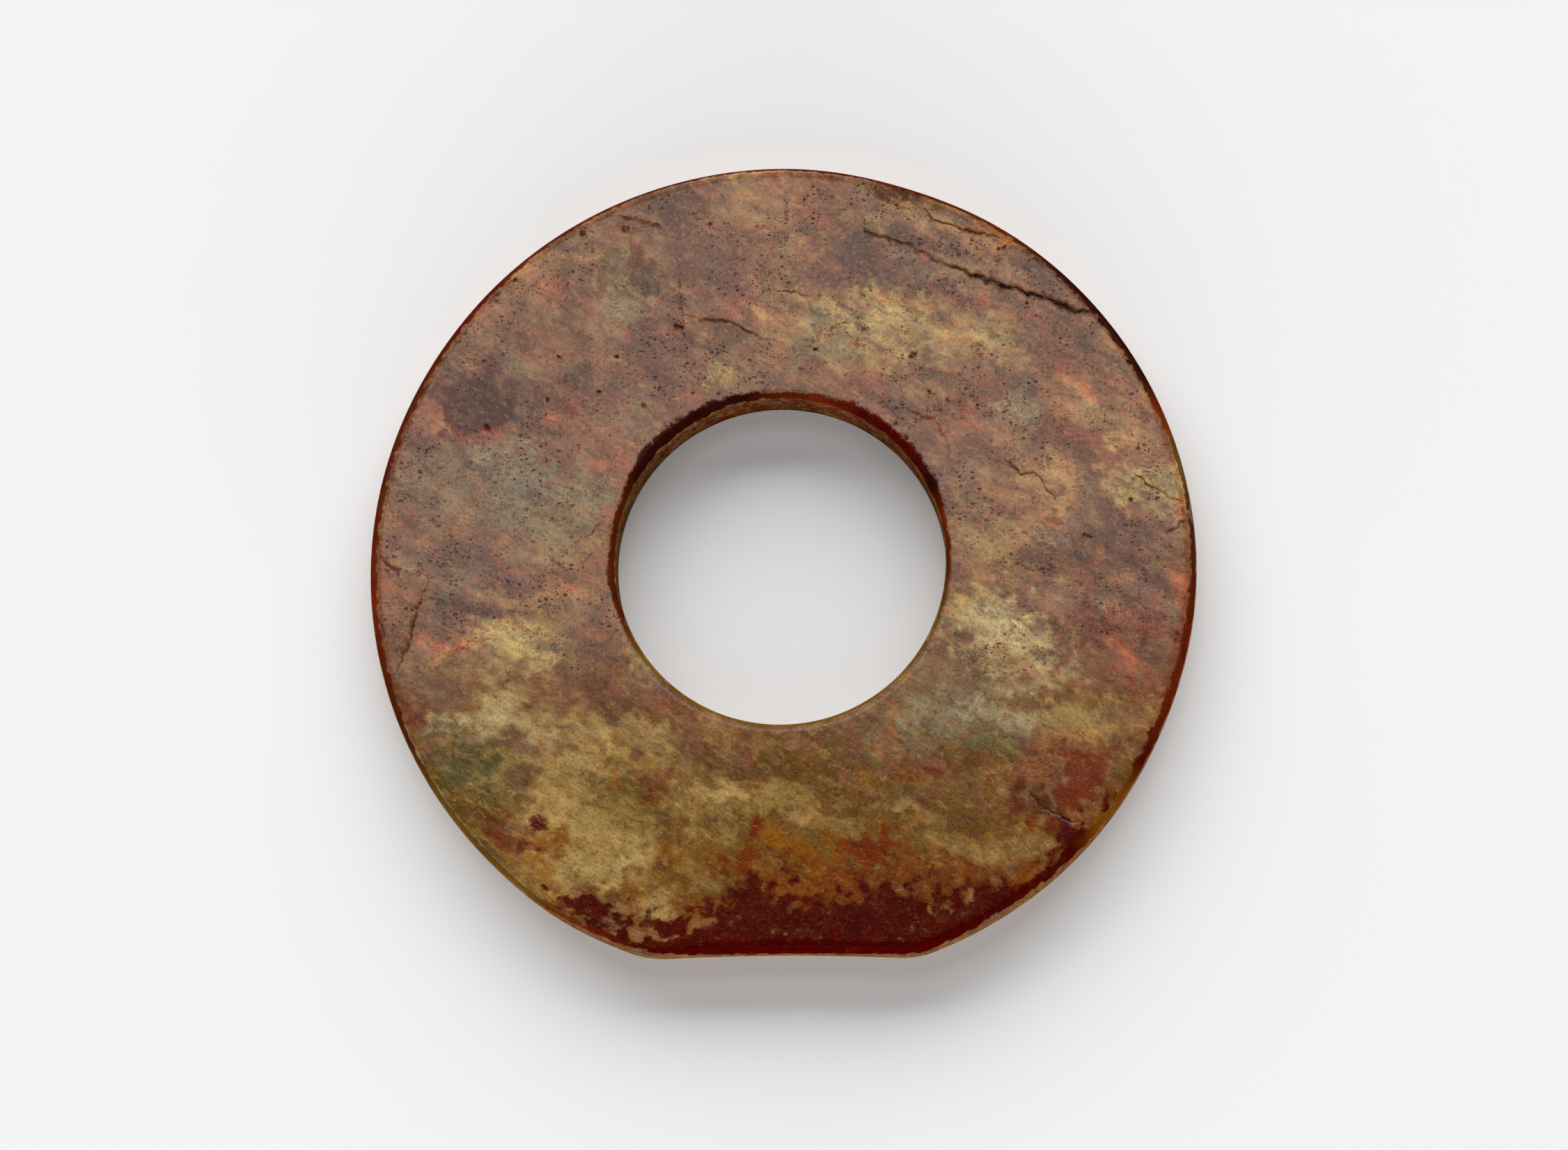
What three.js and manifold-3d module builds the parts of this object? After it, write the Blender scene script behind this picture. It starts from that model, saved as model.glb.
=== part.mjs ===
// A jade bi: a flat, round ring of nephrite with one wide bore and a plain, polished face.
// The stone lies on its back, +Z up, with +Y towards the side that was left whole and
// -Y towards the side where the raw block ended and left a shallow, slightly hollow flat.
// All sizes are in millimetres.

import * as THREE from "three";
import { mergeVertices } from "three/addons/utils/BufferGeometryUtils.js";
import Module from "manifold-3d";

// Driving dimensions.
const RIM_RADIUS = 65;
const BORE_RADIUS = 25.9;
const BORE_CENTRE = new THREE.Vector2(-0.3, 1.1); // from the middle of the rim's circle
const THICKNESS = 10; // at the bore
const RIM_FALL = 0.5; // how much lower the upper face lies at the rim
const RIM_LEAN = 1.6; // how far the rim leans in towards its foot

// The worn arrises, as the width and the height of the quarter curve that rounds each one.
const RIM_SHOULDER = { width: 2.0, height: 3.6 };
const RIM_FOOT = { width: 0.8, height: 1.4 };
const BORE_LIP = { width: 1.2, height: 2.5 };
const BORE_FOOT = { width: 0.7, height: 1.2 };

// The flat on the rim: how deep it cuts, how hollow it is and how softly its ends turn.
const FLAT = { at: 270, depth: 3.5, hollow: 0.45, halfLength: 18.5, softness: 0.9 };
// Places where the rim was ground a little inside its circle, or left a little proud of it.
const UNEVEN = [
  { at: 72, depth: 0.35, spread: 11 },
  { at: 146, depth: 0.12, spread: 14 },
  { at: 238, depth: -0.3, spread: 9 },
  { at: 336, depth: 0.35, spread: 16 },
];

// Broken places: a flattened pebble of this size is taken out at each one.
// "at" is the direction in degrees, "radius" the distance from the middle of the rim's circle,
// "rise" the height of the pebble's middle above the upper face, "turn" its heading off the tangent.
const BREAKS = [
  // Two spalls that meet, where the long crack nears the rim.
  { at: 72, radius: 64.2, rise: 1.2, length: 17, width: 7.4, depth: 4.2, turn: 4 },
  { at: 60, radius: 65.6, rise: 1.0, length: 19, width: 7.0, depth: 4.0, turn: -7 },
  // A nick where the pale vein comes out at the rim.
  { at: 7.4, radius: 66.1, rise: -1.4, length: 6.5, width: 3.4, depth: 6, turn: 0 },
  // A nick at the end of the side crack.
  { at: 199.6, radius: 65.9, rise: -0.6, length: 4.6, width: 2.8, depth: 5, turn: 0 },
  // A chip in the middle of the flat and one at its left end.
  { at: 270.4, radius: 62.7, rise: -0.2, length: 2.4, width: 2.6, depth: 4.4, turn: 0 },
  { at: 251.2, radius: 65.3, rise: -0.4, length: 3.2, width: 1.8, depth: 3.6, turn: 8 },
];

const SPOKES = 144; // how many sections go round the ring
const ARC_STEPS = 4; // edges in each rounded arris
const FACE_STEPS = 3; // edges across each flat face

const wasm = await Module();
wasm.setup();

// Points on a quarter of an ellipse, from its first end to its last. The curve starts
// straight along one axis and finishes straight along the other.
function roundedCorner(corner, from, to) {
  const points = [];
  for (let step = 0; step <= ARC_STEPS; step++) {
    const turn = (step / ARC_STEPS) * (Math.PI / 2);
    points.push(
      new THREE.Vector2(
        corner.x + from.x * (1 - Math.sin(turn)) + to.x * (1 - Math.cos(turn)),
        corner.y + from.y * (1 - Math.sin(turn)) + to.y * (1 - Math.cos(turn)),
      ),
    );
  }
  return points;
}

// The closed section of the ring: x is the distance from the axis and y is the height.
function ringSection() {
  const rimTop = THICKNESS - RIM_FALL;
  const footRadius = RIM_RADIUS - RIM_LEAN;
  const face = (fromRadius, fromHeight, toRadius, toHeight) => {
    const points = [];
    for (let step = 1; step < FACE_STEPS; step++) {
      const share = step / FACE_STEPS;
      points.push(
        new THREE.Vector2(
          THREE.MathUtils.lerp(fromRadius, toRadius, share),
          THREE.MathUtils.lerp(fromHeight, toHeight, share),
        ),
      );
    }
    return points;
  };
  const v = (x, y) => new THREE.Vector2(x, y);
  const section = [
    ...roundedCorner(v(footRadius, 0), v(-RIM_FOOT.width, 0), v(0, RIM_FOOT.height)),
    ...roundedCorner(v(RIM_RADIUS, rimTop), v(0, -RIM_SHOULDER.height), v(-RIM_SHOULDER.width, 0)),
    ...face(RIM_RADIUS - RIM_SHOULDER.width, rimTop, BORE_RADIUS + BORE_LIP.width, THICKNESS),
    ...roundedCorner(v(BORE_RADIUS, THICKNESS), v(BORE_LIP.width, 0), v(0, -BORE_LIP.height)),
    ...roundedCorner(v(BORE_RADIUS, 0), v(0, BORE_FOOT.height), v(BORE_FOOT.width, 0)),
    ...face(BORE_RADIUS + BORE_FOOT.width, 0, footRadius - RIM_FOOT.width, 0),
  ];
  section.push(section[0].clone());
  return section;
}

// The lower of two values, with the corner between them rounded over the given distance.
function softLower(a, b, softness) {
  const blend = Math.max(softness - Math.abs(a - b), 0) / softness;
  return Math.min(a, b) - (blend * blend * softness) / 4;
}

// The angle from one direction to another, in degrees, between -180 and 180.
function degreesApart(a, b) {
  return ((a - b + 540) % 360) - 180;
}

// The distance from the middle of the rim's circle to the rim, in a direction in degrees.
function rimRadius(direction) {
  let radius = RIM_RADIUS;
  for (const { at, depth, spread } of UNEVEN) {
    radius -= depth * Math.exp(-((degreesApart(direction, at) / spread) ** 2));
  }
  const off = THREE.MathUtils.degToRad(degreesApart(direction, FLAT.at));
  if (Math.abs(off) < Math.PI / 3) {
    const along = (RIM_RADIUS - FLAT.depth) * Math.tan(off);
    const hollow = FLAT.hollow * Math.max(0, 1 - (along / FLAT.halfLength) ** 2);
    const toFlat = (RIM_RADIUS - FLAT.depth - hollow) / Math.cos(off);
    radius = softLower(radius, toFlat, FLAT.softness);
  }
  return radius;
}

// The turned ring, pulled to the worn rim on the outside and to the off-centre bore inside.
function wornRing() {
  const ring = new THREE.LatheGeometry(ringSection(), SPOKES);
  ring.rotateX(Math.PI / 2);
  const place = ring.getAttribute("position");
  const point = new THREE.Vector3();
  for (let i = 0; i < place.count; i++) {
    point.fromBufferAttribute(place, i);
    const turned = Math.hypot(point.x, point.y);
    const heading = Math.atan2(point.y, point.x);
    const outward = (turned - BORE_RADIUS) / (RIM_RADIUS - BORE_RADIUS);
    const change = rimRadius(THREE.MathUtils.radToDeg(heading)) - RIM_RADIUS;
    const reach = turned + outward * change;
    point.x = reach * Math.cos(heading) + (1 - outward) * BORE_CENTRE.x;
    point.y = reach * Math.sin(heading) + (1 - outward) * BORE_CENTRE.y;
    place.setXYZ(i, point.x, point.y, point.z);
  }
  return ring;
}

// The flattened pebble that a broken place leaves as its hollow.
function pebble({ at, radius, rise, length, width, depth, turn }) {
  const stone = new THREE.IcosahedronGeometry(0.5, 1);
  stone.scale(width, length, depth);
  stone.rotateZ(THREE.MathUtils.degToRad(turn));
  stone.translate(radius, 0, THICKNESS - RIM_FALL + rise);
  stone.rotateZ(THREE.MathUtils.degToRad(at));
  return stone;
}

// A geometry as a solid, with the vertices that meet at each corner made one.
function solidOf(geometry) {
  const bare = geometry.clone();
  bare.deleteAttribute("normal");
  bare.deleteAttribute("uv");
  const merged = mergeVertices(bare, 1e-4);
  return new wasm.Manifold(
    new wasm.Mesh({
      numProp: 3,
      vertProperties: merged.getAttribute("position").array,
      triVerts: new Uint32Array(merged.index.array),
    }),
  );
}

// A solid back as a geometry.
function geometryOf(solid) {
  const mesh = solid.getMesh();
  const geometry = new THREE.BufferGeometry();
  geometry.setAttribute("position", new THREE.BufferAttribute(mesh.vertProperties, 3));
  geometry.setIndex(new THREE.BufferAttribute(mesh.triVerts, 1));
  geometry.computeVertexNormals();
  return geometry;
}

// The ring with its broken places taken out, set down with the middle of its outline at the origin.
function jadeDisc() {
  let solid = solidOf(wornRing());
  for (const place of BREAKS) {
    solid = solid.subtract(solidOf(pebble(place)));
  }
  const geometry = geometryOf(solid);
  geometry.computeBoundingBox();
  const middle = geometry.boundingBox.getCenter(new THREE.Vector3());
  geometry.translate(-middle.x, -middle.y, -geometry.boundingBox.min.z);
  return geometry;
}

const jade = new THREE.MeshStandardMaterial({ color: 0x80664c, roughness: 0.4, metalness: 0 });

const disc = new THREE.Mesh(jadeDisc(), jade);
disc.name = "jade_disc";

const bi = new THREE.Group();
bi.add(disc);

export default bi;
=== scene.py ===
import math
from collections import namedtuple

import bmesh
import bpy
import numpy as np
from bpy.props import FloatProperty, FloatVectorProperty, IntProperty, PointerProperty
from bpy.types import Operator, Panel, PropertyGroup
from mathutils import Matrix, Vector, noise


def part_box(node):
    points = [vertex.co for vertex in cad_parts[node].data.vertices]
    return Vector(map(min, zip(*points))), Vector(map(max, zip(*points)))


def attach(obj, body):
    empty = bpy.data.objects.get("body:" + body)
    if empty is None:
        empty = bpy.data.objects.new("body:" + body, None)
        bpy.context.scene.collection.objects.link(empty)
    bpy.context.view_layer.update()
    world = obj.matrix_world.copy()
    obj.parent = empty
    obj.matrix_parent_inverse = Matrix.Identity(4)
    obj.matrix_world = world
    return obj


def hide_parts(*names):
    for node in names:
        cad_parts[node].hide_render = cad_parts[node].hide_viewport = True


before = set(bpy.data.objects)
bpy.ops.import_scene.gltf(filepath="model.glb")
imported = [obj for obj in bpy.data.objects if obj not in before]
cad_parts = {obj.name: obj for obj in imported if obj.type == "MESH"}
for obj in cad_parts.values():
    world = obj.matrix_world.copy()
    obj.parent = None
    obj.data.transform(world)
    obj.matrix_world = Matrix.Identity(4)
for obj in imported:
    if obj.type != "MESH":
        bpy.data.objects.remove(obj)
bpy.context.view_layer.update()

bl_info = {
    "name": "Jade Bi Disc",
    "version": (1, 0, 0),
    "blender": (4, 5, 0),
    "location": "View3D > Sidebar > Jade Bi",
    "description": "Dresses a flat nephrite ring with its worn rim, cracks and stains",
    "category": "Object",
}

MM = 0.001  # the stone is worked in millimetres and the scene is in metres
NODE = "jade_disc"

# The worn arrises, as the width and the height of the quarter curve that rounds each one.
RIM_SHOULDER = (2.0, 3.6)
RIM_FOOT = (0.8, 1.4)
BORE_LIP = (1.2, 2.5)
BORE_FOOT = (0.7, 1.2)
BORE_OFFSET = (-0.3, 1.1)  # the bore's axis from the middle of the rim's circle

# How far the walls and their rounded feet reach, seen from above: in from the outline, and out from the bore.
RIM_WALL_REACH = 2.6
BORE_WALL_REACH = 0.8

# The flat on the rim, and the places where the rim was ground low or left proud.
Flat = namedtuple("Flat", "at depth hollow half_length softness")
FLAT = Flat(270, 3.5, 0.45, 18.5, 0.9)
ENDS_OF_FLAT = 0.17  # what the flat's proud ends and the low far side take off the shift
FLAT_SHIFT = (FLAT.depth + FLAT.hollow) / 2 - ENDS_OF_FLAT  # from the outline's middle to the rim's circle
Uneven = namedtuple("Uneven", "at depth spread")
UNEVEN = [Uneven(72, 0.35, 11), Uneven(146, 0.12, 14), Uneven(238, -0.3, 9), Uneven(336, 0.35, 16)]

# Broken places, each the hollow that a flattened pebble would leave.
Break = namedtuple("Break", "at radius rise length width depth turn")
BREAKS = [
    Break(72, 64.2, 1.2, 17, 7.4, 4.2, 4),  # the spall by the long crack
    Break(60, 65.6, 1.0, 19, 7.0, 4.0, -7),  # the spall beside it
    Break(7.4, 66.1, -1.4, 6.5, 3.4, 6, 0),  # where the pale vein meets the rim
    Break(199.6, 65.9, -0.6, 4.6, 2.8, 5, 0),  # at the end of the side crack
    Break(270.4, 62.7, -0.2, 2.4, 2.6, 4.4, 0),  # in the middle of the flat
    Break(251.2, 65.3, -0.4, 3.2, 1.8, 3.6, 8),  # at the left end of the flat
]

# How finely the stone is divided.
FACE_RINGS = 68
ARC_STEPS = {"shoulder": 9, "foot": 3, "lip": 7, "bore_foot": 2}
WALL_STEPS = 4
UNDERSIDE_RINGS = 10
CRACK_REACHES = (0.9, 0.45)  # the stone is divided once more within each of these of a crack

# Small relief, in millimetres.
PIT_DEPTH = 0.16
CRACK_WANDER = 0.28  # how far the cracks and pits stray from their drawn places
BREAK_ROUGHNESS = 0.12


def srgb(red, green, blue):
    """A colour mixed on the 0 to 255 scale, as the linear values that a shader takes."""
    shares = [value / 255 for value in (red, green, blue)]
    return tuple(s / 12.92 if s <= 0.04045 else ((s + 0.055) / 1.055) ** 2.4 for s in shares)


def tone(name, about, *rgb):
    """A colour property whose default is mixed on the 0 to 255 scale."""
    return FloatVectorProperty(
        name=name, description=about, subtype="COLOR", size=3, min=0, max=1, default=srgb(*rgb)
    )


def length(name, about, millimetres):
    """A length property whose default is given in millimetres."""
    return FloatProperty(name=name, description=about, unit="LENGTH", min=0, default=millimetres * MM)


class DiscSizes(PropertyGroup):
    rim_radius: length("Rim Radius", "Radius of the circle that the rim was ground to", 65)
    bore_radius: length("Bore Radius", "Radius of the bore at its narrowest", 25.9)
    thickness: length("Thickness", "Thickness at the bore", 10)
    rim_fall: length("Rim Fall", "How much lower the upper face lies at the rim", 0.5)
    rim_lean: length("Rim Lean", "How far the rim leans in towards its foot", 1.6)
    crack_depth: length("Crack Depth", "Depth of the widest crack", 0.28)
    polish_waves: length("Polish Waves", "How far the hand-rubbed face dips between its high spots", 0.05)
    spokes: IntProperty(name="Spokes", description="Sections round the ring", min=96, max=900, default=760)


class StoneTones(PropertyGroup):
    ground: tone("Ground", "Brown of the bare stone", 122, 88, 62)
    mauve: tone("Mauve", "Greyish purple clouds", 100, 72, 60)
    smoke: tone("Smoke", "Nearly black clouds", 62, 33, 20)
    rose: tone("Rose", "Pinkish clouds", 138, 84, 64)
    salmon: tone("Salmon", "Orange-pink spots", 172, 90, 56)
    tan: tone("Tan", "Light brown clouds", 160, 124, 84)
    straw: tone("Straw", "Yellowish clouds", 162, 138, 88)
    cream: tone("Cream", "Palest yellow", 180, 156, 106)
    white: tone("White", "Whitish haze", 172, 164, 132)
    haze: tone("Haze", "Grey-green clouds", 122, 113, 90)
    moss: tone("Moss", "Dark green clouds", 82, 80, 38)
    olive: tone("Olive", "Olive-brown clouds", 100, 78, 30)
    gold: tone("Gold", "Golden stain", 134, 88, 12)
    rust: tone("Rust", "Red-brown stain", 108, 38, 10)
    blood: tone("Blood", "Deep red stain", 78, 4, 1)
    garnet: tone("Garnet", "Nearly black red of the sharpest edges", 46, 3, 2)
    umber: tone("Umber", "Dark brown of the worn rim", 82, 33, 9)
    # flesh: the rim wall's own colour, also laid higher up the near side as a painted reflection of the floor
    flesh: tone("Flesh", "Pale pinkish brown of the rim's wall", 120, 92, 66)


class StageSettings(PropertyGroup):
    floor: tone("Floor", "Colour of the pale floor", 232, 232, 232)
    tilt: FloatProperty(
        name="Tilt", description="Camera's lean from straight above towards -Y", subtype="ANGLE",
        default=math.radians(11),
    )
    sideways: FloatProperty(
        name="Sideways", description="Camera's lean from straight above towards +X", subtype="ANGLE",
        default=math.radians(2),
    )
    distance: length("Distance", "From the camera to the stone", 1300)
    width: length("Width", "Width of the view at the stone", 245.8)
    key: FloatProperty(
        name="Key", description="Share of their brightness that the lights give", min=0, default=1,
    )
    glow: FloatProperty(
        name="Glow", description="Light that comes up through the floor", min=0, default=0.1,
    )
    fill: FloatProperty(name="Fill", description="Brightness of the room", min=0, default=0.03)


# ---------------------------------------------------------------- shape


def rounded_corner(corner, start, end, steps):
    """Points on the quarter of an ellipse that rounds a corner, from corner + start to corner + end."""
    points = []
    for step in range(steps + 1):
        turn = step / steps * math.pi / 2
        near = 1 - math.sin(turn)
        far = 1 - math.cos(turn)
        points.append(tuple(c + s * near + e * far for c, s, e in zip(corner, start, end)))
    return points


def between(start, end, steps):
    """Evenly spaced points between two points, without the two."""
    shares = [step / steps for step in range(1, steps)]
    return [(start[0] + (end[0] - start[0]) * s, start[1] + (end[1] - start[1]) * s) for s in shares]


def ring_section(sizes):
    """The closed section of the ring, as (distance from the axis, height) in millimetres."""
    rim, bore, top = sizes.rim_radius / MM, sizes.bore_radius / MM, sizes.thickness / MM
    rim_top = top - sizes.rim_fall / MM
    foot_radius = rim - sizes.rim_lean / MM
    foot = rounded_corner((foot_radius, 0), (-RIM_FOOT[0], 0), (0, RIM_FOOT[1]), ARC_STEPS["foot"])
    shoulder = rounded_corner(
        (rim, rim_top), (0, -RIM_SHOULDER[1]), (-RIM_SHOULDER[0], 0), ARC_STEPS["shoulder"]
    )
    lip = rounded_corner((bore, top), (BORE_LIP[0], 0), (0, -BORE_LIP[1]), ARC_STEPS["lip"])
    bore_foot = rounded_corner((bore, 0), (0, BORE_FOOT[1]), (BORE_FOOT[0], 0), ARC_STEPS["bore_foot"])
    runs = [
        (foot, shoulder, WALL_STEPS),
        (shoulder, lip, FACE_RINGS),
        (lip, bore_foot, WALL_STEPS),
        (bore_foot, foot, UNDERSIDE_RINGS),
    ]
    section = []
    for run, following, steps in runs:
        section += run + between(run[-1], following[0], steps)
    return section


def soft_lower(a, b, softness):
    """The lower of two values, with the corner between them rounded."""
    blend = np.maximum(softness - np.abs(a - b), 0) / softness
    return np.minimum(a, b) - blend * blend * softness / 4


def degrees_apart(a, b):
    """The angle from b to a in degrees, between -180 and 180."""
    return (a - b + 540) % 360 - 180


def rim_radius(direction, radius):
    """The distance from the middle of the rim's circle to the worn rim, in each direction in degrees."""
    worn = np.full_like(direction, radius)
    for place in UNEVEN:
        worn -= place.depth * np.exp(-((degrees_apart(direction, place.at) / place.spread) ** 2))
    off = np.radians(degrees_apart(direction, FLAT.at))
    facing = np.abs(off) < math.pi / 3
    off = np.where(facing, off, 0)
    along = (radius - FLAT.depth) * np.tan(off)
    hollow = FLAT.hollow * np.maximum(0, 1 - (along / FLAT.half_length) ** 2)
    to_flat = (radius - FLAT.depth - hollow) / np.cos(off)
    return np.where(facing, soft_lower(worn, to_flat, FLAT.softness), worn)


def turned_ring(sizes):
    """The plain ring, spun from its section, as a mesh in millimetres."""
    bm = bmesh.new()
    corners = [bm.verts.new((x, 0, z)) for x, z in ring_section(sizes)]
    edges = [bm.edges.new(pair) for pair in zip(corners, corners[1:] + corners[:1])]
    bmesh.ops.spin(
        bm, geom=corners + edges, cent=(0, 0, 0), axis=(0, 0, 1), angle=math.tau,
        steps=sizes.spokes, use_merge=True, use_duplicate=False,
    )
    bmesh.ops.recalc_face_normals(bm, faces=bm.faces)
    mesh = bpy.data.meshes.new(NODE + "_stone")
    bm.to_mesh(mesh)
    bm.free()
    return mesh


def read_points(mesh):
    """The mesh's points as an array with one row each."""
    points = np.empty(len(mesh.vertices) * 3)
    mesh.vertices.foreach_get("co", points)
    return points.reshape(-1, 3)


def write_points(mesh, points):
    """Moves the mesh's points to the rows of an array."""
    mesh.vertices.foreach_set("co", points.ravel())
    mesh.update()


def wear_ring(points, sizes):
    """Pulls the plain ring to its worn rim and its off-centre bore, and sets it over the CAD solid."""
    rim, bore = sizes.rim_radius / MM, sizes.bore_radius / MM
    turned = np.hypot(points[:, 0], points[:, 1])
    heading = np.arctan2(points[:, 1], points[:, 0])
    outward = (turned - bore) / (rim - bore)
    reach = turned + outward * (rim_radius(np.degrees(heading), rim) - rim)
    points[:, 0] = reach * np.cos(heading) + (1 - outward) * BORE_OFFSET[0]
    points[:, 1] = reach * np.sin(heading) + (1 - outward) * BORE_OFFSET[1]
    low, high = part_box(NODE)
    for axis in (0, 1):
        middle = (points[:, axis].max() + points[:, axis].min()) / 2
        span = points[:, axis].max() - points[:, axis].min()
        fit = min(1, (high[axis] - low[axis]) / MM / span)
        points[:, axis] = (points[:, axis] - middle) * fit + (low[axis] + high[axis]) / 2 / MM
    return points


# ---------------------------------------------------------------- cracks and pits


# A line on the upper face. width is in millimetres at its heaviest, depth is set against the deepest line,
# and heavy says over which share of its length it is heaviest. drop is how many millimetres lower the stone
# lies on the line's right-hand side.
Line = namedtuple("Line", "route width depth tone heavy drop")
LINES = [
    Line(  # the long crack
        [(13, 52.5), (16, 51.2), (20, 50), (22.5, 48.6), (24, 47.1), (27, 46.5), (30, 45), (34, 43.7),
         (38, 42.3), (42, 41), (44.5, 40), (46.5, 39), (49, 39.3), (50.5, 38.8)],
        0.24, 0.45, "black", (0.45, 0.9), 0,
    ),
    Line(  # the crack between the spalls
        [(17, 58.2), (19.5, 57.3), (22, 56.2), (24, 54), (27, 53), (30, 52.1), (35, 51), (38.6, 50.3)],
        0.16, 0.22, "smoke", (0.3, 0.9), 0,
    ),
    Line(  # the crack over the knot
        [(-26, 55.2), (-22.5, 54.2), (-20, 53.6), (-18.5, 52.3), (-16, 51)],
        0.17, 0.12, "smoke", (0.1, 0.6), 0,
    ),
    Line(  # the upright hairline
        [(-18.6, 52.3), (-17, 49), (-16.3, 46), (-16, 41), (-15.6, 37), (-15.2, 33), (-14.8, 30.5)],
        0.13, 0.08, "rust", (0.3, 0.8), 0,
    ),
    Line(  # its branch towards the bore
        [(-15.7, 39), (-13, 38.2), (-9, 38), (-7, 37.2), (-5, 35.8), (-3, 35), (0, 34.4)],
        0.16, 0.12, "smoke", (0.2, 0.7), 0,
    ),
    Line([(-3, 44.2), (-1, 42.9), (2, 42.5), (5.5, 40.9)], 0.12, 0.06, "smoke", (0.3, 0.8), 0),
    Line(  # the step at the left side
        [(-57.2, -1), (-56, -3), (-55.5, -4.5), (-56.5, -6.5), (-57.7, -8.6), (-58, -11), (-58.4, -13),
         (-59.5, -16), (-60.8, -18.8)],
        0.16, 0.14, "rust", (0.3, 0.9), 0.09,
    ),
    Line([(-63.2, 0.4), (-61.6, -1.2), (-60.4, -2.2), (-60, -3.6)], 0.18, 0.12, "smoke", (0.2, 0.8), 0),
    Line(  # the hairline that leaves the bore
        [(18.5, 24.1), (21, 22.9), (23.8, 21.6), (25.6, 18.6), (26.3, 16.4), (26.2, 13.6)],
        0.14, 0.08, "rust", (0.2, 0.8), 0,
    ),
    Line(  # the jagged seam
        [(34.6, 15.6), (36, 14.6), (37.3, 12.9), (39.2, 13.2), (40.6, 12.6), (41.3, 10.7), (43.4, 7.8)],
        0.08, 0.08, "umber", (0.2, 0.8), 0.05,
    ),
    Line([(55.1, 12.9), (58, 10.8), (60.4, 9.2), (63.6, 8.2)], 0.08, 0.14, "umber", (0.1, 0.6), 0.10),
    Line([(60.6, 3.2), (61.8, 4.3), (63.1, 5.3)], 0.10, 0.12, "umber", (0, 1), 0),
    Line([(-27.3, 6.8), (-30, 4), (-32.6, 1.6)], 0.1, 0.04, "smoke", (0.3, 0.7), 0),
    Line([(15.9, -53.5), (22, -51.9), (28.9, -49.7)], 0.1, 0.015, "tan", (0.2, 0.8), 0),
    Line([(37.5, -37), (40.5, -40), (43.5, -42), (46.5, -42.6)], 0.16, 0.05, "garnet", (0.2, 0.9), 0),
]

# Open pits on the upper face: x, y, radius.
PITS = [
    (-31.6, 52.4, 0.5), (-24.9, 53, 0.5), (-24.2, 52.8, 0.35), (-16.5, 37, 0.42), (-15.9, 36.9, 0.3),
    (5.2, 33.1, 0.42), (20.7, 32.3, 0.5), (20.3, 32, 0.35), (-26.2, 32.2, 0.32), (54.7, 8.5, 0.45),
    (-42.3, 44.8, 0.4), (-11.2, 53.6, 0.3), (34.2, 49.3, 0.35), (35, 49.6, 0.3), (23.3, 26, 0.35),
    (26, 24.6, 0.3), (47.6, 3, 0.35), (48.3, 2.6, 0.3), (-46.4, 20.9, 0.4), (-37, 25.2, 0.3),
    (-22, 24, 0.35), (-28.9, 26.6, 0.3), (3.4, 57.5, 0.3), (30.7, 24, 0.25), (38.6, 40.5, 0.25),
    (-35.2, 32.3, 0.25),
]


def along_line(points, route):
    """For each point, its distance from the route, its share of the way along, and the side (1 is left)."""
    best = np.full(len(points), 1e9)
    share = np.zeros(len(points))
    side = np.ones(len(points))
    legs = [np.array(b, float) - np.array(a, float) for a, b in zip(route, route[1:])]
    spans = [float(np.hypot(*leg)) for leg in legs]
    travelled = 0.0
    for start, leg, span in zip(route, legs, spans):
        away = points[:, :2] - np.array(start, float)
        t = np.clip(away @ leg / span**2, 0, 1)
        gap = away - t[:, None] * leg
        distance = np.hypot(gap[:, 0], gap[:, 1])
        closer = distance < best
        best = np.where(closer, distance, best)
        share = np.where(closer, (travelled + t * span) / sum(spans), share)
        side = np.where(closer, np.sign(leg[0] * away[:, 1] - leg[1] * away[:, 0]), side)
        travelled += span
    return best, share, side


def smooth(value, low, high):
    """0 below low, 1 above high and an even curve between."""
    t = np.clip((value - low) / (high - low), 0, 1)
    return t * t * (3 - 2 * t)


def clouds(points, size, octaves=3, away=0.0):
    """Fractal noise at each point, mostly between -1 and 1, in clouds of about the given size."""
    step = Vector((away * 13.7, away * 7.3, away * 3.1))
    scaled = (points / size).tolist()
    return np.array([noise.fractal(Vector(p) + step, 1.0, 2.1, octaves) for p in scaled]) * 1.6


def drift(points, size, away, octaves=3):
    """A sideways push for each point, from two unlike noises, mostly between -1 and 1."""
    return np.stack([clouds(points, size, octaves, away), clouds(points, size, octaves, away + 1)], 1)


def near_detail(points):
    """Each point's distance from the closest crack or pit of the upper face."""
    best = np.full(len(points), 1e9)
    for line in LINES:
        best = np.minimum(best, along_line(points, line.route)[0])
    for x, y, radius in PITS:
        best = np.minimum(best, np.hypot(points[:, 0] - x, points[:, 1] - y) - radius * 0.5)
    return best


def divide_near_detail(mesh, upper):
    """Divides the upper face where a crack or a pit needs smaller faces."""
    bm = bmesh.new()
    bm.from_mesh(mesh)
    for reach in CRACK_REACHES:
        bm.verts.index_update()
        points = np.array([v.co[:] for v in bm.verts])
        near = (near_detail(points) < reach) & (points[:, 2] > upper)
        edges = [e for e in bm.edges if near[e.verts[0].index] and near[e.verts[1].index]]
        bmesh.ops.subdivide_edges(bm, edges=edges, cuts=1, use_grid_fill=True)
    bm.to_mesh(mesh)
    bm.free()


def heaviness(line, share):
    """How heavy a line is along its length: 1 in its heavy stretch, fading towards its ends."""
    start, end = line.heavy
    swelling = smooth(share, start - 0.15, start + 0.05)
    fading = smooth(share, end - 0.05, end + 0.12)
    return 0.35 + 0.65 * swelling * (1 - fading)


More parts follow.
